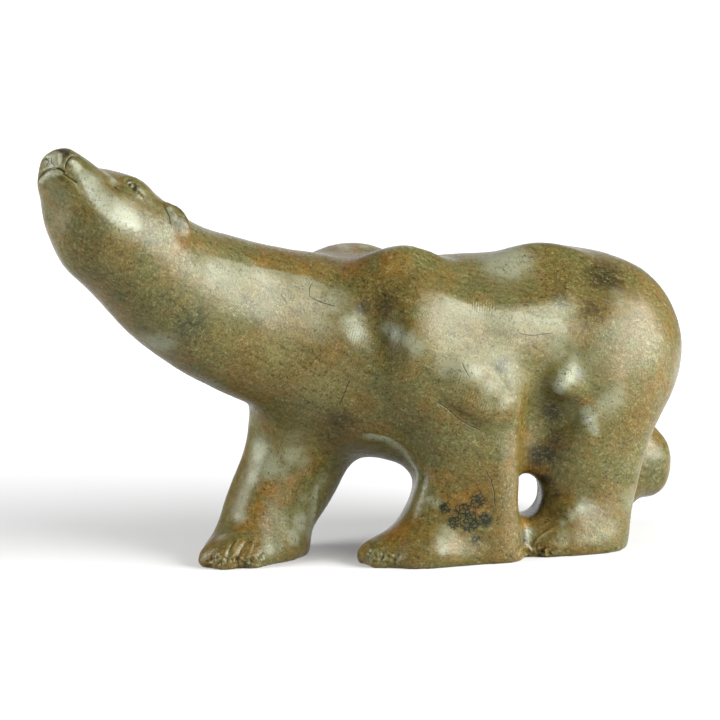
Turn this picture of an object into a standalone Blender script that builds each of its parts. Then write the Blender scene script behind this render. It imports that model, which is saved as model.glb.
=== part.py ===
"""A cast bronze polar bear, walking with its long neck and head raised, as one solid.

The figure is worked out as a sculptor blocks it in: swept limbs and rounded lumps are laid out at
their places, fused into one skin, and the skin is then settled onto the smooth blend of all forms.
The bear looks towards -X, its left flank is on the -Y side, and it stands on z = 0.
"""

import math

import bmesh
import bpy
import numpy as np
from mathutils import Euler, Matrix, Vector

# Driving size, in metres: the bear from nose to rump.
LENGTH = 0.4188

# Every form below is given in parts of that length, 418.8 to the whole, so 1 mm each at this size.
PART = LENGTH / 418.8

# How finely the skin is worked, in the same parts.
SKIN_CELL = 2.4
SKIN_FACES = 9600
SAMPLES_PER_SPAN = 4
# How far a sweep bulges past its ends, as a share of its thinner half.
CAP = 0.7
# Beyond this a form no longer pulls on the skin.
FAR = 30

# The neck bends to the bear's left between these two places, by so many degrees.
TURN_FROM = -70
TURN_TO = -140
HEAD_TURN = 22

# The trunk, neck and head as one sweep, rump to nose: (top x, top z, bottom x, bottom z, half width).
# They are given as if the neck were straight.
SPINE = [
    (139, 153.5, 137, 72, 34),
    (121, 168.5, 120, 60, 43),
    (95, 174, 95, 52, 46),
    (70, 172.5, 72, 48, 46),
    (40, 172, 42, 46, 44),
    (12, 172, 14, 48, 43),
    (-20, 170, -14, 56, 42),
    (-50, 173, -50, 72, 39),
    (-80, 178, -86, 86, 34),
    (-104, 183.5, -122, 100, 31),
    (-126, 189, -158, 117, 29),
    (-146, 195, -184.5, 135, 28),
    (-160, 202, -203.5, 152.5, 27.5),
    (-174, 211.5, -219.5, 166.5, 27),
    (-186, 218, -233.3, 178, 25.5),
    (-198, 221, -240, 192, 22.5),
    (-209, 222.5, -241, 205, 18.5),
    (-218, 230, -244.5, 214, 15),
    (-226, 234.5, -246, 220, 12.5),
    (-231.5, 237, -246.5, 225, 10.5),
]

# Each leg as a sweep, top to bottom: (x, y, z, half length, half width, turn of the section in degrees).
FRONT_LEFT = [
    (4, -24, 112, 33, 22, 8),
    (15, -27, 82, 30, 24, -6),
    (18, -29, 52, 28, 22, -20),
    (15, -29, 26, 32, 22, -20),
    (11, -29, 4, 38, 23, -10),
]
HIND_LEFT = [
    (100, -18, 112, 43, 30, 16),
    (95, -27.5, 82, 40, 27, 7),
    (93, -28.5, 55, 36, 22, -5),
    (93, -28, 34, 30, 20, -14),
    (89, -28, 18, 31, 21, -14),
    (83, -28, 4, 34, 22, -8),
]
FRONT_RIGHT = [
    (-49, 17, 104, 37, 24, 4),
    (-58.7, 21, 80, 36.7, 24, 14),
    (-66.5, 23.5, 57, 34, 21.5, 25),
    (-73.7, 23.5, 42, 31.2, 20.5, 25),
    (-85, 22, 24, 28, 20, 25),
    (-91, 20, 6, 26, 20, 22),
]
HIND_RIGHT = [
    (102, 18, 112, 43, 28, 0),
    (122, 26, 82, 36, 26, 0),
    (139.5, 30, 58, 25.5, 22, 0),
    (151, 31, 41, 21.5, 20, 0),
]
HIND_RIGHT_FOOT = [
    (166.6, 31, 34.5, 18.5, 18, 0),
    (149, 31, 33.5, 18.5, 19, 0),
    (132, 31, 21, 21, 20, 0),
    (118, 31, 9, 17, 20, 0),
]

# How square each leg's section is: 2 is an oval, and more is a rounded block.
LEGS = [(FRONT_LEFT, 4), (HIND_LEFT, 2.4), (FRONT_RIGHT, 2.6), (HIND_RIGHT, 2.2), (HIND_RIGHT_FOOT, 2.2)]
LEG_BLEND = 20

# The paws: name, centre, radii, and the way they point, in degrees to the bear's left.
PAWS = [
    ("left fore paw", (-2, -28, 5), (45, 23.5, 17), 0),
    ("right fore paw", (-96, 13, 5), (38, 20, 17), 25),
    ("left hind paw", (79, -28, 5), (36, 22, 15), 0),
    ("right hind paw", (119, 31, 5), (29, 21, 16), 0),
]
PAW_BLEND = 12
TOE_PLACES = (-62, -22, 18, 56)
TOE_RADII = (11, 6.5, 9)
TOE_BLEND = 4

# Rounded forms laid on the sweeps: name, centre, radii, turn in degrees about X, Y, Z, and blend.
LUMPS = [
    ("left haunch", (111, -22.5, 113), (44, 33, 48), (0, 0, 14), 16),
    ("right haunch", (104, 20, 111), (50, 33, 52), (0, 0, 0), 16),
    ("left hip", (69, -17, 158), (27, 17, 19), (0, 0, 0), 16),
    ("right hip", (86, 16, 151), (25, 17, 18), (0, 0, 0), 16),
    ("left shoulder blade", (-19, -21, 150), (32, 17, 30), (0, 0, 0), 18),
    ("right shoulder blade", (-33, 24, 149.5), (36, 18, 29), (0, 0, 0), 18),
    ("left upper arm", (-9, -32, 126), (33, 19, 38), (0, 12, 10), 14),
    ("left point of the shoulder", (-22, -37.5, 131), (17, 12, 18), (0, 10, 12), 10),
    ("left forefoot", (-12, -40, 8), (15, 13, 14), (0, 0, 15), 5),
    ("left triceps", (17, -45, 99), (31, 14, 21), (0, 36, 4), 7),
    ("right upper arm", (-20, 33, 120), (32, 16, 34), (0, 0, 0), 14),
    ("left ribs", (42, -33, 130), (41, 16, 27), (0, 0, 0), 18),
    ("left knee", (69, -43.5, 98), (19, 13, 15), (0, -25, 20), 5),
    ("left calf", (84, -41, 75), (12, 10, 13), (0, 0, 14), 6),
    ("left ankle", (79, -41, 22), (13, 9, 10), (0, 0, 8), 6),
    ("right knee", (98, 42, 98), (22, 12, 18), (0, 10, 0), 8),
]
# Forms of the head, from the pivot of its turn: back, to the left, and height; each has its twin.
HEAD_LUMPS = [
    ("brow", (-56.5, 10.5, 215), (11.5, 8, 7), (0, 25, 0), 5),
    ("ear", (-37.5, 21.5, 198.5), (9, 4.5, 13), (-22, -30, -10), 3),
    ("jaw", (-80, 10, 203), (24, 12, 13), (0, 54, 0), 10),
]
# Hollows pressed into the skin, in the same terms.
HOLLOWS = [
    ("between spine and left ribs", (42, -68.5, 205.5), (110, 60, 60), (0, 0, 0), 6),
    ("between neck and left shoulder", (-46, -53, 140), (9, 14, 26), (0, -13, 0), 12),
    ("left flank behind the elbow", (57, -54, 70), (13, 15, 29), (0, -8, 0), 8),
    ("under the left knee", (67, -60, 80), (12, 13, 11), (0, 15, 0), 8),
    ("between the left feet", (56, -28, 33.5), (8.2, 60, 12.3), (0, 0, -23), 3),
]


def swept(table):
    """Rows of a sweep sampled along a smooth curve: centre, half height, half width and side vector."""
    table = np.array(table, float)
    ends = np.vstack([2 * table[0] - table[1], table, 2 * table[-1] - table[-2]])
    samples = []
    for i in range(1, len(ends) - 2):
        before, here, there, after = ends[i - 1 : i + 3]
        for step in range(SAMPLES_PER_SPAN):
            t = step / SAMPLES_PER_SPAN
            samples.append(
                0.5
                * (
                    2 * here
                    + (there - before) * t
                    + (2 * before - 5 * here + 4 * there - after) * t * t
                    + (3 * here - before - 3 * there + after) * t**3
                )
            )
    samples.append(table[-1])
    return np.array(samples)


def frame_of(start, end):
    """The unit vectors up, to the side and along between two rows of a sweep."""
    along = end[:3] - start[:3]
    along = along / np.linalg.norm(along)
    side = start[5:8] + end[5:8]
    side = side - along * (side @ along)
    side /= np.linalg.norm(side)
    return np.cross(side, along), side, along


def sweep_distance(points, samples, squareness):
    """Signed distance, near enough, from the points to a swept form, its section an oval or a block."""
    nearest = np.full(len(points), 1e3)
    for start, end in zip(samples[:-1], samples[1:]):
        reach = max(start[3:5].max(), end[3:5].max()) + FAR
        low = np.minimum(start[:3], end[:3]) - reach
        high = np.maximum(start[:3], end[:3]) + reach
        near = np.flatnonzero(((points > low) & (points < high)).all(1))
        if not len(near):
            continue
        up, side, along = frame_of(start, end)
        span = (end[:3] - start[:3]) @ along
        t = np.clip((points[near] - start[:3]) @ along / span, 0, 1)[:, None]
        offset = points[near] - (start[:3] + t * (end[:3] - start[:3]))
        half_height, half_width = (start[3:5] + t * (end[3:5] - start[3:5])).T
        cap = np.minimum(half_height, half_width) * CAP
        section = np.abs([offset @ up / half_height, offset @ side / half_width]) ** squareness
        share = np.maximum(np.hypot(section.sum(0) ** (1 / squareness), offset @ along / cap), 1e-6)
        nearest[near] = np.minimum(nearest[near], np.linalg.norm(offset, axis=1) * (1 - 1 / share))
    return nearest


def lump_distance(points, centre, radii, turn):
    """Signed distance, near enough, from the points to a turned ellipsoid."""
    axes = np.array(Euler([math.radians(a) for a in turn]).to_matrix())
    local = (points - np.array(centre, float)) @ axes
    share = np.maximum(np.linalg.norm(local / np.array(radii, float), axis=1), 1e-6)
    return np.linalg.norm(local, axis=1) * (1 - 1 / share)


def blended(a, b, width):
    """The union of two distances, filleted over that width."""
    share = np.clip(0.5 + 0.5 * (a - b) / width, 0, 1)
    return a + (b - a) * share - width * share * (1 - share)


def turned(x):
    """Where a place on the straight neck goes when the neck is bent: x, y and the turn in radians."""
    steps = np.linspace(TURN_FROM, x, 60) if x < TURN_FROM else np.array([x, x])
    share = np.clip((TURN_FROM - steps) / (TURN_FROM - TURN_TO), 0, 1)
    turns = math.radians(HEAD_TURN) * share * share * (3 - 2 * share)
    middles = (turns[1:] + turns[:-1]) / 2
    moves = np.diff(steps)
    return (steps[0] + (moves * np.cos(middles)).sum(), (moves * np.sin(middles)).sum(), turns[-1])


def spine_rows():
    rows = []
    for top_x, top_z, bottom_x, bottom_z, half_width in SPINE:
        x, y, turn = turned((top_x + bottom_x) / 2)
        z = (top_z + bottom_z) / 2
        half_height = math.hypot(top_x - bottom_x, top_z - bottom_z) / 2
        rows.append((x, y, z, half_height, half_width, -math.sin(turn), math.cos(turn), 0))
    return rows


def sweeps():
    """The trunk and the four legs, ready to measure from."""
    found = [(swept(spine_rows()), 2)]
    for rows, squareness in LEGS:
        sides = [(-math.sin(math.radians(row[5])), math.cos(math.radians(row[5])), 0) for row in rows]
        found.append((swept([(*row[:5], *side) for row, side in zip(rows, sides)]), squareness))
    return found


def head_pairs():
    """The head's rounded forms at their places on both sides."""
    pivot_x, pivot_y, turn = turned(TURN_TO)
    found = []
    for name, (back, left, height), radii, (tilt, pitch, yaw), blend in HEAD_LUMPS:
        for side in (1, -1):
            x = pivot_x + back * math.cos(turn) + left * side * math.sin(turn)
            y = pivot_y + back * math.sin(turn) - left * side * math.cos(turn)
            angles = (tilt * side, pitch, yaw * side + math.degrees(turn))
            found.append((name, (x, y, height), radii, angles, blend))
    return found


def paw_forms():
    """The paws and their toes, laid round the front of each paw."""
    found = []
    for name, centre, radii, aim in PAWS:
        found.append((name, centre, radii, (0, 0, aim), PAW_BLEND))
        for place in TOE_PLACES:
            ahead = -math.cos(math.radians(place)) * (radii[0] - TOE_RADII[0] * 0.7)
            across = math.sin(math.radians(place)) * (radii[1] - TOE_RADII[1] * 0.62)
            turn = math.radians(aim)
            x = centre[0] + ahead * math.cos(turn) - across * math.sin(turn)
            y = centre[1] + ahead * math.sin(turn) + across * math.cos(turn)
            spread = math.degrees(math.atan2(-across, radii[0]))
            found.append(("toe of " + name, (x, y, 4), TOE_RADII, (0, -12, aim + spread), TOE_BLEND))
    return found


def all_lumps():
    return LUMPS + paw_forms() + head_pairs()


def bear_distance(points, forms):
    """Signed distance from the points to the whole figure."""
    trunk, *legs = forms
    total = sweep_distance(points, *trunk)
    for leg in legs:
        total = blended(total, sweep_distance(points, *leg), LEG_BLEND)
    for name, centre, radii, turn, blend in all_lumps():
        total = blended(total, lump_distance(points, centre, radii, turn), blend)
    for name, centre, radii, turn, blend in HOLLOWS:
        total = -blended(-total, lump_distance(points, centre, radii, turn), blend)
    # The left foreleg stands clear of the hollows, so its rear edge stays straight and crisp.
    return blended(total, sweep_distance(points, *legs[0]) + 0.5, 2)


def add_pellet(bm, centre, radii, axes):
    place = Matrix.Translation(centre) @ Matrix(axes).to_4x4() @ Matrix.Diagonal((*radii, 1))
    bmesh.ops.create_icosphere(bm, subdivisions=3, radius=1, matrix=place)


def blocked_in(forms):
    """The forms as overlapping pellets in one mesh, in parts of the length."""
    bm = bmesh.new()
    for samples, squareness in forms:
        for start, end in zip(samples[:-1], samples[1:]):
            up, side, along = frame_of(start, end)
            axes = Matrix([Vector(up), Vector(side), Vector(along)]).transposed()
            for row in (start, (start + end) / 2, end):
                add_pellet(bm, row[:3], (row[3], row[4], min(row[3:5]) * CAP), axes)
    for name, centre, radii, turn, blend in all_lumps():
        add_pellet(bm, centre, radii, Euler([math.radians(a) for a in turn]).to_matrix())
    mesh = bpy.data.meshes.new("polar_bear")
    bm.to_mesh(mesh)
    bm.free()
    return mesh


def apply_modifiers(bear):
    graph = bpy.context.evaluated_depsgraph_get()
    made = bpy.data.meshes.new_from_object(bear.evaluated_get(graph))
    bear.modifiers.clear()
    bear.data = made


def remesh(bear, cell):
    modifier = bear.modifiers.new("skin", "REMESH")
    modifier.mode = "VOXEL"
    modifier.voxel_size = cell
    modifier.adaptivity = 0
    apply_modifiers(bear)


def smooth(bear, times):
    modifier = bear.modifiers.new("ease", "SMOOTH")
    modifier.factor = 0.5
    modifier.iterations = times
    apply_modifiers(bear)


def settle(bear, forms, times):
    """Moves every point of the skin along its normal onto the blend of the forms."""
    mesh = bear.data
    count = len(mesh.vertices)
    points = np.empty(count * 3)
    normals = np.empty(count * 3)
    for _ in range(times):
        mesh.vertices.foreach_get("co", points)
        mesh.vertex_normals.foreach_get("vector", normals)
        distance = np.clip(bear_distance(points.reshape(-1, 3), forms), -SKIN_CELL, SKIN_CELL)
        mesh.vertices.foreach_set("co", points - (normals.reshape(-1, 3) * distance[:, None]).ravel())
        mesh.update()


def stand_flat(bear):
    """Cuts the feet off level with the ground and closes them with flat soles."""
    bm = bmesh.new()
    bm.from_mesh(bear.data)
    everything = bm.verts[:] + bm.edges[:] + bm.faces[:]
    bmesh.ops.bisect_plane(bm, geom=everything, plane_no=(0, 0, 1), clear_inner=True)
    rim = [v for v in bm.verts if v.is_boundary]
    for vert in rim:
        vert.co.z = 0
    bmesh.ops.remove_doubles(bm, verts=rim, dist=1.0)
    bmesh.ops.triangle_fill(bm, use_beauty=True, edges=[e for e in bm.edges if e.is_boundary])
    bmesh.ops.recalc_face_normals(bm, faces=bm.faces)
    bmesh.ops.triangulate(bm, faces=bm.faces)
    bm.to_mesh(bear.data)
    bm.free()


def thin_out(bear):
    modifier = bear.modifiers.new("facets", "DECIMATE")
    modifier.ratio = SKIN_FACES / len(bear.data.polygons) / 2
    modifier.use_collapse_triangulate = True
    apply_modifiers(bear)


def centre(bear):
    """Scales the bear to metres, with the middle of its length and width over the origin."""
    corners = np.array([vert.co for vert in bear.data.vertices])
    middle = (corners.min(0) + corners.max(0)) / 2
    bear.data.transform(Matrix.Scale(PART, 4) @ Matrix.Translation((-middle[0], -middle[1], 0)))
    return middle


def bronze():
    material = bpy.data.materials.new("patinated bronze")
    material.use_nodes = True
    shader = material.node_tree.nodes["Principled BSDF"]
    shader.inputs["Base Color"].default_value = (0.23, 0.17, 0.075, 1)
    shader.inputs["Metallic"].default_value = 0.6
    shader.inputs["Roughness"].default_value = 0.35
    return material


def main():
    for obj in list(bpy.data.objects):
        bpy.data.objects.remove(obj)
    collection = bpy.data.collections.new("polar bear")
    bpy.context.scene.collection.children.link(collection)
    forms = sweeps()
    bear = bpy.data.objects.new("polar_bear", blocked_in(forms))
    collection.objects.link(bear)
    remesh(bear, SKIN_CELL)
    settle(bear, forms, 3)
    smooth(bear, 2)
    remesh(bear, SKIN_CELL)
    settle(bear, forms, 3)
    smooth(bear, 1)
    thin_out(bear)
    stand_flat(bear)
    centre(bear)
    bear.data.materials.clear()
    bear.data.materials.append(bronze())
    bear.data.polygons.foreach_set("use_smooth", [True] * len(bear.data.polygons))
    return bear


if __name__ == "__main__":
    main()
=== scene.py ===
import math

import bmesh
import bpy
import numpy as np
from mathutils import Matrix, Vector, noise
from mathutils.bvhtree import BVHTree


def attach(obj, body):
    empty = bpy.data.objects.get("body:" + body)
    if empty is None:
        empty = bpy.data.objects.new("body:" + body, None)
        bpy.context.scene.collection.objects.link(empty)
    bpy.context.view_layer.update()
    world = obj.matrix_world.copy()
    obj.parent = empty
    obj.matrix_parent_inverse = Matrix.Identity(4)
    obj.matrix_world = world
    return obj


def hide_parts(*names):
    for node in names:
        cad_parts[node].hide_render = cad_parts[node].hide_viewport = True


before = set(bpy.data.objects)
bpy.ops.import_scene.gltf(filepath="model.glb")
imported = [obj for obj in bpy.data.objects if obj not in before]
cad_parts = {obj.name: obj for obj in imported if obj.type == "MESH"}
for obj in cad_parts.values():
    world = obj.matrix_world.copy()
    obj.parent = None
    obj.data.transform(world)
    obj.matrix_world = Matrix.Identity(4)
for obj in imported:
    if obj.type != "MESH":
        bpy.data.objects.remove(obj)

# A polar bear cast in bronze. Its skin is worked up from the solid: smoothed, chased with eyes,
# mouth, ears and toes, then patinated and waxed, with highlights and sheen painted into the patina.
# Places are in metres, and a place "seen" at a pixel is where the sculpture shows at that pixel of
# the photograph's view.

MM = 0.001
CELL = 1.9 * MM

# The photograph's view: what it aims at, from how far, and how much one pixel shows there.
TARGET = Vector((-0.00754, 0.00522, 0.113))
DISTANCE = 1.6
PIXEL = 0.57 * MM
IMAGE = 720
YAW, PITCH = math.radians(23), math.radians(7)
BACK = Vector((-math.sin(YAW) * math.cos(PITCH), -math.cos(YAW) * math.cos(PITCH), math.sin(PITCH)))
RIGHT = Vector((math.cos(YAW), -math.sin(YAW), 0))
UP = BACK.cross(RIGHT)

# How many times stronger than daylight the studio's lamps are, and a film's width in mm.
LAMP = 2
SENSOR_WIDTH = 36

# The plane that halves the head: a point on it, and the direction of the head's left side.
HEAD_MIDDLE = Vector((-0.10864, -0.00802, 0))
HEAD_LEFT = Vector((math.sin(math.radians(22)), -math.cos(math.radians(22)), 0))

# The mouth, and the slit of a nostril, in pixels of the photograph's view.
MOUTH = [(37.5, 181.5), (40.5, 176), (44, 172.5), (48, 169.8), (52, 168.3), (56, 168), (60, 169),
         (66, 173)]
NOSTRIL = [(65, 169.5), (65.8, 164), (68.5, 159), (72.5, 155.8), (77, 156.5), (80.5, 159)]


def only(obj):
    """Selects this object alone and makes it the active one."""
    for other in bpy.context.selected_objects:
        other.select_set(False)
    obj.select_set(True)
    bpy.context.view_layer.objects.active = obj


def finish_with(obj, kind, **settings):
    """Adds a modifier with these settings and applies it."""
    modifier = obj.modifiers.new(kind.lower(), kind)
    for name, value in settings.items():
        setattr(modifier, name, value)
    only(obj)
    bpy.ops.object.modifier_apply(modifier=modifier.name)


def even_skin(node):
    """A copy of the cast's solid, merged, rounded between its facets and remeshed evenly."""
    skin = bpy.data.objects.new("bear_skin", node.data.copy())
    bpy.context.scene.collection.objects.link(skin)
    bm = bmesh.new()
    bm.from_mesh(skin.data)
    bmesh.ops.remove_doubles(bm, verts=bm.verts, dist=0.001 * MM)
    crease = bm.edges.layers.float.new("crease_edge")
    for edge in bm.edges:
        flat = [max(v.co.z for v in face.verts) < 0.01 * MM for face in edge.link_faces]
        if any(flat) and not all(flat):
            edge[crease] = 1
    bm.to_mesh(skin.data)
    bm.free()
    finish_with(skin, "SUBSURF", levels=1, render_levels=1)
    finish_with(skin, "REMESH", mode="VOXEL", voxel_size=CELL, adaptivity=0)
    finish_with(skin, "SMOOTH", factor=0.5, iterations=6)
    return skin


def seen(tree, x, y):
    """The place on the skin that shows at this pixel of the photograph's view."""
    start = TARGET + BACK * DISTANCE
    way = (TARGET + RIGHT * (x - IMAGE / 2) * PIXEL + UP * (IMAGE / 2 - y) * PIXEL - start).normalized()
    place = tree.ray_cast(start, way)[0]
    if place is None:
        # Just off the outline: the place on the skin that is nearest to the line of sight.
        along = [start + way * (1.4 + 0.004 * step) for step in range(100)]
        near = [(tree.find_nearest(point)[3], tree.find_nearest(point)[0]) for point in along]
        place = min(near, key=lambda found: found[0])[1]
    return place


def twin(tree, place):
    """The place on the skin at the other side of the head."""
    across = 2 * (place - HEAD_MIDDLE).dot(HEAD_LEFT)
    return tree.find_nearest(place - across * HEAD_LEFT)[0]


def tree_of(skin):
    """A tree of the skin's faces, in which places on it are found."""
    corners = [v.co.copy() for v in skin.data.vertices]
    return BVHTree.FromPolygons(corners, [tuple(p.vertices) for p in skin.data.polygons])


def finer(skin, places):
    """Halves the mesh's cells round these places: (centre, radius)."""
    only(skin)
    bpy.ops.object.mode_set(mode="EDIT")
    bpy.ops.mesh.select_all(action="DESELECT")
    bm = bmesh.from_edit_mesh(skin.data)
    for face in bm.faces:
        middle = face.calc_center_median()
        face.select_set(any((middle - centre).length < radius for centre, radius in places))
    bmesh.update_edit_mesh(skin.data)
    bpy.ops.mesh.subdivide(number_cuts=1, smoothness=0)
    bpy.ops.object.mode_set(mode="OBJECT")


class Chasing:
    """Works a skin's points in and out along their normals, as a chaser works a cast."""

    def __init__(self, skin):
        self.mesh = skin.data
        count = len(self.mesh.vertices)
        self.points = np.empty((count, 3))
        self.normals = np.empty((count, 3))
        self.mesh.vertices.foreach_get("co", self.points.ravel())
        self.mesh.vertex_normals.foreach_get("vector", self.normals.ravel())
        self.depth = np.zeros(count)

    def along(self, line, reach):
        """Which points lie near a line, how far off, on which side, and how far along it."""
        line = np.array([tuple(place) for place in line])
        low, high = line.min(0) - reach, line.max(0) + reach
        near = np.flatnonzero(((self.points > low) & (self.points < high)).all(1))
        points = self.points[near]
        off = np.full(len(near), 1e9)
        side = np.zeros(len(near))
        share = np.zeros(len(near))
        lengths = np.linalg.norm(np.diff(line, axis=0), axis=1)
        before = np.concatenate([[0], np.cumsum(lengths)])
        for i, (start, end) in enumerate(zip(line[:-1], line[1:])):
            way = (end - start) / max(lengths[i], 1e-9)
            t = np.clip((points - start) @ way, 0, lengths[i])
            gap = points - start - t[:, None] * way
            length = np.linalg.norm(gap, axis=1)
            closer = length < off
            across = np.cross(way, self.normals[near])
            side[closer] = (gap * across).sum(1)[closer]
            share[closer] = ((before[i] + t) / before[-1])[closer]
            off[closer] = length[closer]
        return near, off, side, share

    def stroke(self, line, width, depth, fade):
        """A groove, or with a negative depth a ridge, that runs out at both ends."""
        near, off, _, share = self.along(line, 4 * width)
        ends = np.clip(np.minimum(share, 1 - share) / fade, 0, 1)
        self.depth[near] -= depth * np.exp(-((off / width) ** 2)) * ends**0.5

    def step(self, line, width, depth, reach):
        """A shelf along a line: it rises at once on the line's right and falls away over the reach."""
        near, off, side, share = self.along(line, 3 * reach)
        ends = np.clip(np.minimum(share, 1 - share) / 0.25, 0, 1)
        rise = np.tanh(side / width) * np.exp(-((off / reach) ** 2))
        self.depth[near] += depth * rise * ends

    def lump(self, centre, radius, height):
        """A rounded swelling, or with a negative height a hollow."""
        gap = self.points - np.array(tuple(centre))
        self.depth += height * np.exp(-(gap**2).sum(1) / radius**2)

    def plane(self, places, radius, share, sink):
        """Planes the skin off flat through three places, fading out round their middle."""
        a, b, c = [np.array(tuple(place)) for place in places]
        normal = np.cross(b - a, c - a)
        normal /= np.linalg.norm(normal)
        middle = (a + b + c) / 3
        gap = self.points - middle
        near = np.flatnonzero((gap**2).sum(1) < (1.6 * radius) ** 2)
        facing = np.sign((self.normals[near] @ normal).sum())
        above = (gap[near] @ normal) * facing + sink
        off = np.linalg.norm(gap[near], axis=1) / radius
        hold = np.clip(1.6 - off, 0, 0.6) / 0.6
        turn = np.clip(self.normals[near] @ normal * facing, 0.3, 1)
        self.depth[near] -= np.clip(above, 0, None) * hold * share / turn

    def curves(self):
        """How hollow the skin is at each point, per millimetre, and below 0 how ridged."""
        ends = np.empty(2 * len(self.mesh.edges), int)
        self.mesh.edges.foreach_get("vertices", ends)
        first, second = ends.reshape(-1, 2).T
        count = np.bincount(ends, minlength=len(self.points))
        around = np.zeros_like(self.points)
        for axis in range(3):
            around[:, axis] = np.bincount(first, self.points[second, axis], len(self.points))
            around[:, axis] += np.bincount(second, self.points[first, axis], len(self.points))
        gap = around / count[:, None] - self.points
        lengths = np.linalg.norm(self.points[first] - self.points[second], axis=1)
        cell = (np.bincount(first, lengths, len(count)) + np.bincount(second, lengths, len(count))) / count
        return (gap * self.normals).sum(1) / cell**2 * MM

    def done(self):
        """Moves the points and lays the soles flat again."""
        moved = self.points + self.normals * self.depth[:, None]
        soles = self.points[:, 2] < 0.35 * MM
        moved[soles] = self.points[soles]
        moved[soles, 2] = 0
        moved[:, 2] = np.maximum(moved[:, 2], 0)
        self.mesh.vertices.foreach_set("co", moved.ravel())
        self.mesh.update()


def traced(tree, line):
    """A line drawn in pixels of the photograph's view, laid on the skin."""
    return [seen(tree, x, y) for x, y in line]


# The crumpled skin round the eye: (x, y) in pixels of the photograph's view, and the height in mm.
EYE_FOLDS = [(128, 185, 0.5), (134.5, 187, -0.6), (137.5, 187, 0.6), (136, 191, 0.5),
             (139.5, 190.5, -0.6), (139, 194.5, 0.6), (142, 193.5, -0.4), (142, 197.5, 0.4)]


def chase_head(skin):
    tree = tree_of(skin)
    work = Chasing(skin)
    sides = (lambda p: p, lambda p: twin(tree, p))
    # The blunt front of the upper lip, and the flat sides of the muzzle and cheeks.
    work.plane(traced(tree, [(45, 158), (61, 160), (52, 169)]), 9 * MM, 1.0, 0.3 * MM)
    for side in sides:
        cheek = [side(p) for p in traced(tree, [(74, 166), (112, 200), (92, 206)])]
        work.plane(cheek, 24 * MM, 0.85, 0.6 * MM)
        work.lump(side(seen(tree, 70.5, 162)), 4 * MM, 0.8 * MM)
        # The stop between muzzle and brow, and the temple behind the eye.
        stop = [side(p) for p in traced(tree, [(98, 172), (110, 181), (124, 188)])]
        work.stroke(stop, 3.5 * MM, 0.9 * MM, 0.3)
        work.lump(side(seen(tree, 148, 203)), 8 * MM, -0.7 * MM)
    # The lower lip, and the top of the nose.
    work.lump(seen(tree, 41, 185), 8 * MM, 1.8 * MM)
    work.lump(seen(tree, 68, 152), 7 * MM, 1.3 * MM)
    work.done()


def cut_face(skin):
    """The lines of the face: mouth, nostrils, eyes and ears."""
    tree = tree_of(skin)
    work = Chasing(skin)
    work.stroke(traced(tree, MOUTH), 0.7 * MM, 1.0 * MM, 0.05)
    work.stroke(traced(tree, [(38.5, 186), (43, 179), (49, 174.5), (58, 173.5)]), 1.5 * MM, -0.8 * MM, 0.2)
    work.stroke(traced(tree, [(42.5, 161), (46, 158.5), (50, 158)]), 0.8 * MM, 0.7 * MM, 0.2)
    for side in (lambda p: p, lambda p: twin(tree, p)):
        def line(*points):
            return [side(p) for p in traced(tree, points)]
        work.stroke(line((62, 172), (69, 178), (77, 183)), 0.7 * MM, 0.8 * MM, 0.2)
        work.stroke(line((63.5, 174.5), (70, 180), (77, 184.5)), 0.6 * MM, -0.6 * MM, 0.3)
        # Nostril: a comma that curls over the wing.
        work.stroke(line(*NOSTRIL), 0.7 * MM, 0.7 * MM, 0.3)
        work.lump(side(seen(tree, 70, 162)), 2.2 * MM, 0.5 * MM)
        # Eye: a pit under the brow, with the ball in it and a lid above and below.
        work.lump(side(seen(tree, 131.5, 184)), 3.6 * MM, -1.7 * MM)
        work.lump(side(seen(tree, 132.5, 184)), 1.4 * MM, 1.5 * MM)
        work.stroke(line((127, 183), (130, 180.5), (135, 181.5), (138, 185)), 0.8 * MM, -0.45 * MM, 0.3)
        work.stroke(line((127.5, 186), (131, 188), (135, 188.5), (140, 190.5)), 0.8 * MM, -0.45 * MM, 0.3)
        work.stroke(line((129, 183.5), (131.5, 182), (134.5, 183)), 0.5 * MM, 0.7 * MM, 0.2)
        work.stroke(line((121, 180), (127, 176.5), (135, 178.5), (141, 184)), 1.8 * MM, -0.6 * MM, 0.3)
        # Crumpled skin round the eye.
        for x, y, height in EYE_FOLDS:
            work.lump(side(seen(tree, x, y)), 1.2 * MM, height * MM)
        work.lump(side(seen(tree, 115.5, 187.5)), 2.4 * MM, -0.9 * MM)
        work.stroke(line((108, 176), (115, 181), (122, 185)), 1.2 * MM, -0.5 * MM, 0.3)
        # Ear: the groove before it and its rounded front rim.
        work.stroke(line((162, 206), (166, 214), (170, 223)), 1.5 * MM, 0.6 * MM, 0.3)
        work.stroke(line((168, 205), (173, 214), (175, 223)), 1.8 * MM, -0.4 * MM, 0.3)
    work.done()


def chase_body(skin):
    """The planes and creases of the near flank."""
    tree = tree_of(skin)
    work = Chasing(skin)
    # The crease under the elbow, the shelf of the forearm over it and the fold up its inner side.
    work.stroke(traced(tree, [(430, 396), (447, 407), (465, 420), (482, 431)]), 1.6 * MM, 0.8 * MM, 0.3)
    shelf = [(518, 415), (512, 418), (490, 424), (466, 414), (440, 400)]
    work.step(traced(tree, shelf), 2.5 * MM, 0.9 * MM, 11 * MM)
    work.stroke(traced(tree, [(488, 362), (497, 373), (507, 388), (512, 402)]), 2.0 * MM, 1.0 * MM, 0.3)
    # Knee and calf.
    work.lump(seen(tree, 566, 377), 8 * MM, 1.8 * MM)
    work.lump(seen(tree, 588, 403), 9 * MM, -1.6 * MM)
    work.lump(seen(tree, 592, 418), 7 * MM, 1.2 * MM)
    work.lump(seen(tree, 552, 412), 12 * MM, -1.0 * MM)
    work.done()


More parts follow.
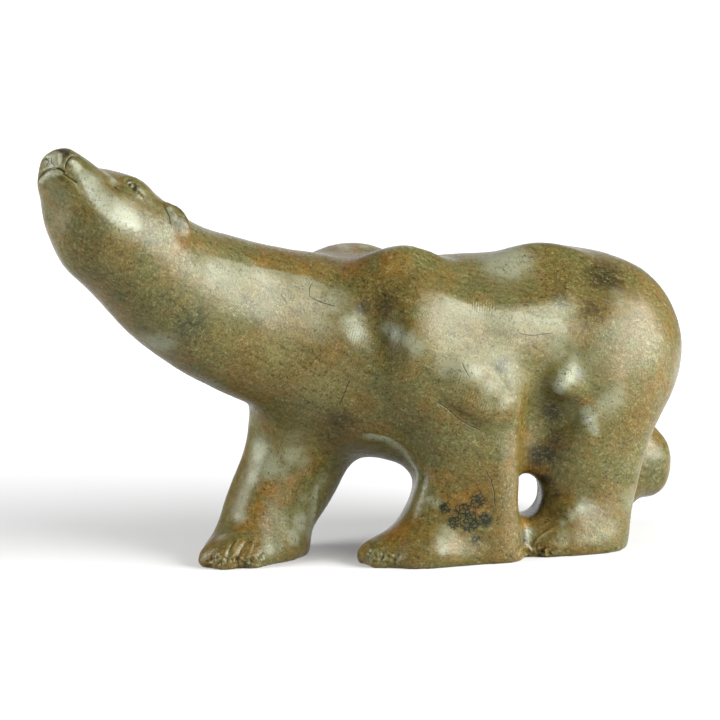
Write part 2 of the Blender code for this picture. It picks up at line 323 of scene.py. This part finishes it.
# The toes, in pixels of the photograph's view: the grooves between them, the sharp ridges that run up
# the paws and curl over the claws, and the middle of each toe.
TOE_GROOVES = [
    [(225, 567), (226, 559), (231, 547), (236, 541)],
    [(238, 568), (237, 561), (241, 550), (247, 541)],
    [(211, 567), (212, 558), (217, 549)],
    [(245, 568), (244, 561)],
    [(259, 566), (260, 559), (265, 553)],
    [(367, 564), (368, 556), (374, 549)],
    [(380, 566), (381, 559), (387, 551)],
    [(394, 567), (395, 560), (401, 554)],
    [(517, 556), (521, 548), (527, 541)],
    [(527, 558), (528, 552)],
    [(538, 559), (539, 553), (546, 547)],
    [(549, 557), (550, 552), (557, 548)],
]
TOE_RIDGES = [
    [(256, 533), (252, 545), (248, 556), (245, 562)],
    [(240, 537), (235, 545), (231, 551)],
    [(222, 541), (216, 552), (212, 564)],
    [(239, 556), (243, 560), (246, 564)],
    [(248, 557), (253, 555.5), (257, 559), (258, 564)],
    [(218, 561), (221, 557), (225, 559)],
    [(560, 523), (550, 530), (540, 536), (531, 548)],
    [(527, 546), (531, 550), (536, 548)],
    [(540, 548), (545, 551), (547, 557)],
    [(519, 549), (523, 545), (527, 549)],
    [(362, 549), (366, 546), (371, 549)],
    [(373, 552), (377, 549), (381, 553)],
    [(385, 557), (389, 553), (394, 557)],
    [(398, 540), (403, 535), (408, 528)],
    [(364, 556), (368, 553), (372, 557)],
]
TOES = [(212, 562), (222, 558), (236, 560), (250, 562), (364, 557), (376, 557), (388, 558), (526, 552),
        (541, 552)]


def chase_toes(skin):
    """Toes: grooves between them, ridges over the claws, and crumpled skin wound round each claw."""
    tree = tree_of(skin)
    work = Chasing(skin)
    for groove in TOE_GROOVES:
        work.stroke(traced(tree, groove), 1.3 * MM, 0.9 * MM, 0.3)
    for ridge in TOE_RIDGES:
        work.stroke(traced(tree, ridge), 0.9 * MM, -0.5 * MM, 0.3)
    # The crumpled skin of the toes, wound round each claw.
    for x, y in TOES:
        for i in range(9):
            turn, reach = 2.4 * i, 1.2 + 0.7 * i
            place = seen(tree, x + reach * math.cos(turn), y + 0.8 * reach * math.sin(turn))
            work.lump(place, 1.1 * MM, (0.5 if i % 2 else -0.5) * MM)
    work.done()


def unevenness(skin):
    """The slight waviness of a surface worked by hand."""
    work = Chasing(skin)
    for i, point in enumerate(work.points):
        p = Vector(point)
        broad = noise.noise(p * 55) * 0.35
        small = noise.noise(p * 160 + Vector((7, 3, 1))) * 0.10
        work.depth[i] = (broad + small) * MM
    work.done()


# Where the skin is worked finest: (x, y) in pixels of the photograph's view, and the reach in mm.
FINE = [(58, 166, 13), (72, 172, 9), (230, 560, 14), (250, 560, 12), (378, 556, 12), (534, 547, 11),
        (552, 540, 9)]


def bronze_skin():
    skin = even_skin(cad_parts["polar_bear"])
    tree = tree_of(skin)
    eye = seen(tree, 132, 186)
    places = [(seen(tree, x, y), reach) for x, y, reach in FINE]
    places += [(eye, 9), (twin(tree, eye), 9)]
    for share in (1.5, 1.0):
        finer(skin, [(place, reach * share * MM) for place, reach in places])
    chase_body(skin)
    chase_head(skin)
    cut_face(skin)
    chase_toes(skin)
    unevenness(skin)
    only(skin)
    bpy.ops.object.shade_smooth()
    return skin


class Value:
    """A number that flows through a material, worked on with ordinary arithmetic."""

    def __init__(self, paint, socket):
        self.paint = paint
        self.socket = socket

    def math(self, operation, other=None, swap=False, clamp=False):
        first, second = (other, self) if swap else (self, other)
        settings = {"operation": operation, "use_clamp": clamp}
        return self.paint.add("ShaderNodeMath", settings, first, second)

    def __add__(self, other):
        return self.math("ADD", other)

    def __sub__(self, other):
        return self.math("SUBTRACT", other)

    def __mul__(self, other):
        return self.math("MULTIPLY", other)

    def __rsub__(self, other):
        return self.math("SUBTRACT", other, swap=True)

    __radd__ = __add__
    __rmul__ = __mul__

    def between(self, low, high):
        """0 below low, 1 above high, and smooth in between."""
        return self.paint.add("ShaderNodeMapRange", {"interpolation_type": "SMOOTHSTEP"},
                              self, low, high, 0.0, 1.0)


class Paint:
    """One material and its nodes."""

    def __init__(self, name):
        self.material = bpy.data.materials.new(name)
        self.material.use_nodes = True
        self.nodes = self.material.node_tree.nodes
        self.links = self.material.node_tree.links
        self.shader = self.nodes["Principled BSDF"]

    def add(self, kind, settings, *inputs, out=0, **named):
        """A node of this kind: its settings first, then the values or links of its sockets."""
        node = self.nodes.new(kind)
        for name, value in settings.items():
            setattr(node, name, value)
        for key, value in [*enumerate(inputs), *named.items()]:
            if value is not None:
                self.put(node.inputs[key.replace("_", " ") if isinstance(key, str) else key], value)
        return Value(self, node.outputs[out])

    def put(self, socket, value):
        if isinstance(value, Value):
            self.links.new(value.socket, socket)
        else:
            socket.default_value = value

    def place(self, scale=(1, 1, 1), turn=(0, 0, 0)):
        """Coordinates on the piece itself, in metres, turned and stretched."""
        own = self.add("ShaderNodeTexCoord", {}, out="Object")
        turn = [math.radians(angle) for angle in turn]
        return self.add("ShaderNodeMapping", {"vector_type": "TEXTURE"}, own, Rotation=turn,
                        Scale=[1 / s for s in scale])

    def noise(self, scale, detail, roughness, distortion=0.0, where=None):
        return self.add("ShaderNodeTexNoise", {}, Vector=where or self.place(), Scale=scale,
                        Detail=detail, Roughness=roughness, Distortion=distortion)

    def own(self, name):
        """A number kept on the piece's points."""
        return self.add("ShaderNodeAttribute", {"attribute_name": name}, out="Fac")

    def mix(self, share, first, second):
        """Two colours mixed by a share."""
        node = self.nodes.new("ShaderNodeMix")
        node.data_type = "RGBA"
        for socket, value in ((node.inputs[0], share), (node.inputs[6], first), (node.inputs[7], second)):
            self.put(socket, value)
        return Value(self, node.outputs[2])

    def finish(self, **sockets):
        for name, value in sockets.items():
            self.put(self.shader.inputs[name.replace("_", " ")], value)
        return self.material


def colour(red, green, blue):
    """A colour as it looks in soft daylight, from 0 to 255, kept dark enough for the strong lamp."""
    def light(c):
        c /= 255
        return (c / 12.92 if c <= 0.04045 else ((c + 0.055) / 1.055) ** 2.4) / LAMP
    return (light(red), light(green), light(blue), 1)


# Patches on the skin: (x, y, radius) in pixels of the photograph's view, and how strong. Olive, warm,
# green and soot are patina; pale is painted highlights and sheen as well as paler patina; dark darkens
# the colour, in folds, hollows and undersides among other places; rasp and matt give rasp marks and a
# duller finish. The far flank repeats them, apart from those named here.
NEAR_ONLY = ("soot", "rasp", "matt")
PATCHES = {
    "olive": [
        (70, 195, 18, 0.9), (85, 225, 14, 0.4), (320, 390, 30, 0.9), (280, 350, 26, 0.9),
        (535, 382, 20, 0.8), (375, 335, 12, 0.7), (455, 389, 14, 1.0), (610, 530, 14, 0.6),
        (290, 450, 14, 0.8), (450, 345, 30, 0.6), (120, 225, 16, 0.6), (110, 262, 20, 0.5),
        (500, 350, 22, 0.5), (620, 440, 18, 0.4), (480, 470, 16, 0.3), (345, 370, 20, 0.5),
        (225, 345, 20, 0.4),
    ],
    "warm": [
        (352, 264, 26, 0.9), (392, 262, 30, 0.6), (425, 282, 26, 0.4), (215, 252, 16, 0.5),
        (262, 262, 18, 0.6), (300, 268, 18, 0.6), (470, 500, 26, 0.8), (440, 478, 20, 0.6),
        (395, 532, 24, 0.9), (455, 545, 20, 0.6), (270, 488, 14, 0.8), (260, 508, 12, 0.8),
        (246, 525, 12, 0.7), (240, 548, 14, 0.6), (275, 428, 14, 0.5), (535, 470, 20, 0.9),
        (560, 440, 16, 0.7), (522, 430, 10, 0.7), (522, 480, 11, 0.9), (524, 525, 11, 0.9),
        (604, 527, 10, 0.7), (586, 404, 14, 0.7), (664, 380, 16, 0.7), (470, 510, 24, 0.6),
        (520, 560, 14, 0.5), (560, 500, 16, 0.5), (470, 372, 22, 0.4), (545, 545, 12, 0.6),
        (78, 212, 12, 0.4), (180, 240, 18, 0.5), (335, 352, 20, 0.4), (430, 400, 24, 0.4),
        (672, 330, 14, 0.5), (365, 548, 14, 0.6), (505, 470, 16, 0.5), (500, 530, 14, 0.5),
    ],
    "dark": [
        (606, 278, 30, 0.8), (560, 300, 16, 0.7), (590, 310, 20, 0.6), (385, 300, 16, 0.6),
        (362, 308, 10, 0.8), (385, 335, 12, 0.4), (503, 366, 12, 0.9), (552, 412, 14, 0.9),
        (556, 438, 12, 0.8), (538, 455, 14, 1.0), (340, 420, 20, 0.7), (585, 506, 12, 0.7),
        (246, 305, 16, 0.6), (255, 318, 14, 0.6), (415, 275, 16, 0.4), (148, 232, 16, 0.5),
        (180, 224, 8, 0.8), (424, 480, 8, 0.7), (525, 537, 9, 0.9), (330, 435, 16, 0.6),
        (565, 285, 18, 0.5), (131, 184, 7, 0.8), (115, 188, 4, 0.7), (66, 152, 6, 1.2),
        (61, 150, 5, 0.8), (70, 158, 3, 0.8), (136, 189, 5, 1.0), (140, 194, 4, 0.9),
        (548, 455, 12, 1.0), (545, 480, 10, 0.9), (556, 495, 8, 0.7), (182, 211, 6, 0.9),
        (185, 220, 5, 0.8), (500, 300, 12, 0.5), (530, 303, 12, 0.5), (190, 328, 28, 0.55),
        (580, 375, 9, 0.7), (575, 402, 10, 0.6), (628, 320, 16, 0.4), (265, 292, 12, 0.5),
        (272, 412, 12, 0.5), (565, 515, 12, 0.5), (450, 440, 20, 0.3), (492, 500, 8, 0.5),
    ],
    # Painted highlights, sheen and rims, and paler patina.
    "pale_patina_and_highlight": [
        (78, 168, 6, 0.9), (86, 178, 7, 0.9), (96, 192, 9, 0.9), (108, 205, 12, 0.9),
        (124, 214, 14, 0.8), (100, 178, 8, 0.6), (112, 182, 6, 0.6), (49, 160, 7, 1.5),
        (51, 166, 6, 1.5), (71, 162, 3, 1.3), (47, 168, 5, 0.8), (41, 181, 3, 1.3), (46, 176, 4, 1.3),
        (53, 173.5, 4, 1.3), (215, 270, 18, 0.6), (335, 300, 20, 0.7), (320, 325, 22, 0.5),
        (386, 329, 7, 1.0), (397, 334, 9, 1.4), (407, 340, 9, 1.2), (417, 348, 10, 0.9),
        (350, 322, 14, 0.8), (355, 332, 10, 1.1), (415, 345, 18, 0.4), (460, 370, 22, 0.7),
        (450, 368, 16, 0.8), (474, 372, 11, 0.9), (490, 388, 10, 0.6), (503, 402, 9, 0.6),
        (490, 402, 16, 0.5), (436, 300, 26, 0.3), (158, 343, 20, 0.9), (505, 260, 30, 1.1),
        (560, 348, 16, 0.7), (575, 358, 10, 0.7), (571, 367, 10, 0.9), (566, 376, 10, 1.2),
        (562, 384, 9, 1.3), (559, 391, 6, 1.2), (587, 412, 8, 1.2), (589, 419, 8, 1.6),
        (592, 426, 7, 1.2), (596, 431, 6, 0.9), (604, 405, 11, 0.8), (612, 400, 22, 0.7),
        (260, 450, 15, 1.0), (270, 466, 15, 1.0), (254, 478, 10, 0.7), (284, 470, 10, 0.7),
        (283, 474, 8, 0.6), (304, 500, 10, 0.6), (300, 522, 13, 1.2), (294, 536, 11, 1.0),
        (270, 550, 8, 0.8), (240, 518, 10, 0.6), (222, 536, 8, 0.7), (322, 480, 12, 0.6),
        (429, 499, 6, 0.9), (436, 503, 6, 0.9), (446, 532, 11, 0.7), (630, 500, 16, 0.7),
        (564, 534, 8, 0.6), (530, 532, 6, 0.9), (620, 300, 18, 0.5), (170, 215, 8, 0.6),
        (500, 300, 20, 0.3), (590, 360, 12, 0.4), (107, 174, 4, 1.2), (113, 180, 4, 1.2),
        (171, 209, 3.5, 1.4), (174, 217, 3.5, 1.4), (345, 247, 10, 1.0), (364, 246, 8, 0.9),
        (442, 538, 9, 0.8), (444, 550, 8, 0.7), (581, 508, 7, 0.8), (572, 516, 6, 0.8),
        (563, 523, 5, 0.8), (638, 470, 8, 0.5),
    ],
    "green": [
        (655, 470, 26, 0.8), (190, 325, 30, 0.8), (165, 300, 24, 0.6), (135, 275, 22, 0.5),
        (60, 196, 12, 0.7), (450, 325, 30, 0.5), (270, 300, 24, 0.4), (640, 330, 24, 0.4),
        (500, 330, 26, 0.5), (400, 470, 18, 0.4), (290, 445, 16, 0.4), (230, 350, 30, 0.4),
        (545, 430, 10, 0.4), (620, 470, 22, 0.3), (105, 225, 14, 0.6), (425, 545, 12, 0.5),
        (222, 562, 8, 0.6), (250, 565, 6, 0.6), (610, 548, 14, 0.4), (490, 440, 14, 0.3),
        (75, 180, 8, 0.4), (95, 250, 18, 0.4),
    ],
    "soot": [
        (478, 500, 8, 1.0), (464, 510, 9, 0.9), (470, 522, 12, 1.0), (454, 522, 9, 0.8),
        (486, 520, 9, 0.8), (444, 508, 6, 0.9), (476, 540, 9, 0.6),
    ],
    "rasp": [
        (476, 303, 9, 1.0), (488, 305, 8, 0.8), (457, 389, 9, 1.0), (470, 399, 10, 1.0),
        (483, 408, 8, 0.9), (287, 379, 8, 0.8), (266, 556, 10, 0.8), (356, 334, 13, 0.4),
        (566, 378, 14, 0.5), (402, 340, 12, 0.5),
    ],
    "matt": [
        (511, 440, 9, 1.0), (511, 460, 9, 1.0), (511, 480, 9, 1.0), (511, 500, 9, 1.0),
        (511, 520, 9, 1.0), (511, 540, 9, 1.0), (275, 525, 14, 0.8), (278, 540, 12, 0.8),
        (250, 285, 16, 0.3), (598, 530, 10, 0.4), (240, 262, 16, 0.5), (520, 318, 16, 0.3),
        (640, 340, 20, 0.2), (668, 350, 10, 0.4), (250, 560, 12, 0.6),
    ],
}
# Painted highlights with crisp edges, where planes catch the light: pale on the right-hand side of each
# line. Each has its line in pixels of the photograph's view, the reach in mm over which it fades out,
# and how strong it is.
PAINTED_LIT_EDGES = [
    ([(146, 235), (138, 232), (113, 222), (90, 200), (80, 180), (74, 168)], 10, 1.3),
    ([(356, 433), (372, 433), (390, 437), (405, 448), (414, 464), (419, 482)], 5, 1.3),
    ([(423, 297), (440, 292), (454, 297), (470, 304), (500, 309), (520, 311),
      (548, 317), (562, 316), (569, 330), (571, 345), (569, 360)], 13, 0.55),
    ([(195, 252), (218, 256), (248, 264), (282, 270),
      (310, 276), (333, 288), (351, 303), (356, 322)], 18, 0.6),
    ([(64, 176.5), (57, 176), (50, 178), (44, 181.5), (38, 185)], 3, 1.5),
    ([(60, 170), (57, 161), (57, 153)], 3, 1.4),
    ([(319, 476), (318, 500), (314, 524), (309, 545)], 9, 0.9),
]

# Hairline cracks, and the lines of the ear, the muzzle, the mouth and the nostril, which hold dirt.
CRACKS = [
    [(313, 281), (309, 288), (309, 296), (320, 302), (338, 307)],
    [(280, 293), (284, 299), (287, 304)],
    [(350, 378), (345, 392), (339, 405)],
    [(432, 399), (447, 408), (458, 419), (470, 426), (482, 431)],
    [(484, 468), (491, 480), (494, 492), (495, 510)],
    [(462, 363), (465, 370), (470, 378)],
    [(517, 333), (532, 336), (552, 333)],
    [(114, 289), (121, 294), (128, 298)],
    [(162.5, 203), (166, 210), (169, 216), (171, 227)],
    [(45, 158), (49, 161), (47, 166)],
    [(51, 157), (52, 163), (56, 167)],
    MOUTH,
    NOSTRIL,
]


def keep(skin, name, values):
    """Keeps a number for each point on the skin, for its material."""
    layer = skin.data.attributes.new(name, "FLOAT", "POINT")
    layer.data.foreach_set("value", values.astype(np.float32))


def lay_patches(skin):
    tree = tree_of(skin)
    work = Chasing(skin)
    for name, patches in PATCHES.items():
        total = np.zeros(len(work.points))
        for x, y, radius, strength in patches:
            centre = np.array(tuple(seen(tree, x, y)))
            places = [centre]
            if name not in NEAR_ONLY:
                places.append(centre * (1, -1, 1) + (0.012, 0.006, 0.004))
            for place in places:
                gap = ((work.points - place) ** 2).sum(1)
                total = np.maximum(total, strength * np.exp(-gap / (radius * PIXEL) ** 2))
        # The pale patches hold painted highlights and sheen as well as paler patina.
        if name == "pale_patina_and_highlight":
            # Painted highlights: pale with a crisp edge on the right of each line, fading out over its
            # reach.
            for line, reach, strength in PAINTED_LIT_EDGES:
                near, gap, across, share = work.along(traced(tree, line), 3 * reach * MM)
                ends = np.clip(np.minimum(share, 1 - share) / 0.15, 0, 1)
                lit_edge = np.clip(across / MM / 0.8, 0, 1) * np.exp(-((gap / reach / MM) ** 2))
                lit_edge *= ends * strength
                total[near] = np.maximum(total[near], lit_edge)
        keep(skin, name, total)
    off, side, on = (np.full(len(work.points), v) for v in (1.0, 1.0, 0.0))
    for crack in CRACKS:
        near, gap, across, share = work.along(traced(tree, crack), 6 * MM)
        closer = gap < off[near]
        found = near[closer]
        off[found] = gap[closer]
        side[found] = across[closer] / MM
        on[found] = (np.clip(np.minimum(share, 1 - share) / 0.12, 0, 1) * (gap < 4 * MM))[closer]
    hollow = work.curves()
    keep(skin, "hollow", hollow)
    keep(skin, "ridge", -hollow)
    keep(skin, "crack_side", side)
    keep(skin, "crack_on", on)


def bronze_with_painted_highlights():
    paint = Paint("patinated bronze")
    cloud = paint.noise(24, 3, 0.5)
    blotch = paint.noise(75, 4, 0.6, 0.4)
    grain = paint.noise(420, 4, 0.65)
    speck = paint.noise(950, 3, 0.8)
    fibre = paint.noise(430, 2, 0.55, 1.2)
    brushed = paint.noise(330, 4, 0.7, 0.3, paint.place((0.3, 1, 1), (0, 25, 0)))
    warm, dark, pale_patina_and_highlight, green, olive, matt = (
        paint.own(name) for name in ("warm", "dark", "pale_patina_and_highlight", "green", "olive", "matt"))
    ragged = (blotch - 0.5) * 0.9 + (grain - 0.5) * 0.7
    drift = cloud * 0.6 + blotch * 0.4 + ragged * 0.4
    body = paint.mix(drift.between(0.37, 0.65), colour(101, 97, 50), colour(113, 90, 34))
    body = paint.mix((olive + ragged).between(0.1, 1.0), body, colour(124, 114, 64))
    body = paint.mix((green + ragged).between(0.2, 1.1), body, colour(82, 90, 58))
    body = paint.mix((warm + ragged).between(0.15, 1.05), body, colour(138, 98, 28))
    body = paint.mix((dark + ragged).between(0.15, 1.0), body, colour(48, 42, 18))
    # Painted highlights and sheen, with paler patina, from the pale patches and lit edges; near white
    # where strongest.
    body = paint.mix((pale_patina_and_highlight + ragged * 1.1).between(0.1, 1.0), body, colour(147, 149, 120))
    body = paint.mix((pale_patina_and_highlight + ragged * 0.8).between(1.0, 1.9), body, colour(208, 207, 192))
    # The tooth of the surface: fine dark and straw-coloured specks, and the brush marks between them.
    tooth = (speck - 0.5) * 2.0 + (grain - 0.5) * 0.8 + (brushed - 0.5) * 0.8
    umber, straw = colour(34, 29, 10), colour(168, 158, 112)
    body = paint.mix(tooth.between(0.02, 0.42) * 0.9, body, umber)
    body = paint.mix(tooth.between(-0.04, -0.46) * (0.65 - pale_patina_and_highlight * 0.35), body, straw)
    threads = (fibre - 0.5).math("ABSOLUTE").between(0.045, 0.0)
    body = paint.mix(threads * (0.45 - pale_patina_and_highlight * 0.35), body, umber)
    body = paint.mix(paint.own("hollow").between(0.06, 0.4) * 0.75, body, umber)
    # Ridges turned golden: worn-through bronze, and painted glints along them.
    body = paint.mix(paint.own("ridge").between(0.1, 0.5) * 0.5, body, colour(176, 152, 92))
    cells = paint.add("ShaderNodeTexVoronoi", {"feature": "DISTANCE_TO_EDGE"}, Vector=paint.place(),
                      Scale=430)
    veins = (cells + (speck - 0.5) * 0.35).between(0.17, 0.04)
    black = (paint.own("soot") + (blotch - 0.5) * 0.6 + (grain - 0.5)).between(0.2, 0.65)
    sooty = black.math("MULTIPLY", veins + black * 0.4, clamp=True)
    body = paint.mix(sooty, body, colour(34, 42, 30))
    crack = paint.own("crack_side").math("ADD", (grain - 0.5) * 0.7).math("ABSOLUTE")
    crack = paint.own("crack_on") * crack.between(0.42, 0.18)
    body = paint.mix(crack * 0.8, body, umber)
    rough = 0.28 + matt * 0.35 + (blotch - 0.5) * 0.10 + (speck - 0.5) * 0.2
    rasp = paint.add("ShaderNodeTexWave", {"wave_type": "BANDS", "bands_direction": "X"},
                     Vector=paint.place(turn=(0, 18, 0)), Scale=209, Distortion=1.5, Detail=2)
    tooled = grain * 0.4 + speck * 0.4 + brushed * 0.4 - threads * 0.15
    # Where highlights and pale patina are painted, the surface is smoother.
    tooled = tooled * (1 - pale_patina_and_highlight.between(0.1, 0.9) * 0.5)
    height = tooled + rasp * paint.own("rasp") * 0.5 - crack * 0.6
    bump = paint.add("ShaderNodeBump", {}, Strength=0.7, Distance=0.25 * MM, Height=height)
    return paint.finish(Base_Color=body, Roughness=rough, Metallic=0.0, IOR=1.5, Specular_IOR_Level=0.25,
                        Specular_Tint=(0.94, 1.0, 0.86, 1), Normal=bump)


def floor():
    """A pale sheet that lies under the bear and sweeps up to a wall behind it."""
    turn = Vector((BACK.x, BACK.y, 0)).to_track_quat("-Y", "Z")
    bpy.ops.mesh.primitive_plane_add(size=7, location=(0, 0, 0), rotation=turn.to_euler())
    sheet = bpy.context.object
    sheet.name = "floor"
    bpy.ops.object.mode_set(mode="EDIT")
    bm = bmesh.from_edit_mesh(sheet.data)
    for v in bm.verts:
        v.co.x *= 3
        v.co.y *= 1 if v.co.y > 0 else 3
    for edge in bm.edges:
        edge.select_set(all(v.co.y > 1 for v in edge.verts))
    bmesh.update_edit_mesh(sheet.data)
    bpy.ops.mesh.extrude_region_move(TRANSFORM_OT_translate={"value": (0, 0, 5)})
    bpy.ops.object.mode_set(mode="OBJECT")
    finish_with(sheet, "BEVEL", width=1.2, segments=12, limit_method="ANGLE")
    bpy.ops.object.shade_smooth()
    paint = Paint("pale paper")
    # The sheet glows where it backs the bear, from a hand's breadth beyond it.
    place = paint.place()
    across = paint.add("ShaderNodeSeparateXYZ", {}, place, out=0).math("ABSOLUTE")
    along = paint.add("ShaderNodeSeparateXYZ", {}, place, out=1)
    lit = along.between(0.1, 0.8) * across.between(1.1, 0.75)
    glow = paint.mix(lit, (0.1, 0.1, 0.1, 1), (0.8, 0.8, 0.8, 1))
    sheet.data.materials.append(paint.finish(Base_Color=(0.5, 0.5, 0.5, 1), Roughness=0.9,
                                             Emission_Color=glow, Emission_Strength=1.0))


def softbox(azimuth, elevation, distance, width, height, power):
    """A soft light that faces the bear. Azimuth 0 lies before its left flank and 90 behind it."""
    azimuth, elevation = math.radians(azimuth), math.radians(elevation)
    back = Vector((math.sin(azimuth) * math.cos(elevation), -math.cos(azimuth) * math.cos(elevation),
                   math.sin(elevation)))
    light = bpy.data.lights.new("softbox", "AREA")
    light.shape = "RECTANGLE"
    light.size, light.size_y, light.energy = width, height, power
    lamp = bpy.data.objects.new("softbox", light)
    bpy.context.scene.collection.objects.link(lamp)
    lamp.location = Vector((0, 0, 0.12)) + back * distance
    lamp.rotation_euler = back.to_track_quat("Z", "Y").to_euler()


def studio():
    floor()
    softbox(48, 16, 1.3, 1.3, 1.0, 38 * LAMP)
    softbox(-96, 16, 1.2, 0.7, 0.95, 13 * LAMP)
    world = bpy.data.worlds.new("studio")
    world.use_nodes = True
    world.node_tree.nodes["Background"].inputs["Color"].default_value = (1, 1, 1, 1)
    world.node_tree.nodes["Background"].inputs["Strength"].default_value = 0.25
    bpy.context.scene.world = world
    bpy.context.scene.view_settings.view_transform = "Standard"
    lens = bpy.data.cameras.new("camera")
    lens.sensor_width = SENSOR_WIDTH
    lens.lens = lens.sensor_width * DISTANCE / (PIXEL * IMAGE)
    lens.clip_start, lens.clip_end = 0.01, 50
    camera = bpy.data.objects.new("camera", lens)
    bpy.context.scene.collection.objects.link(camera)
    camera.location = TARGET + BACK * DISTANCE
    camera.rotation_euler = BACK.to_track_quat("Z", "Y").to_euler()
    bpy.context.scene.camera = camera


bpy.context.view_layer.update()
bear = bronze_skin()
lay_patches(bear)
bear.data.materials.clear()
bear.data.materials.append(bronze_with_painted_highlights())
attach(bear, "root")
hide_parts("polar_bear")
studio()
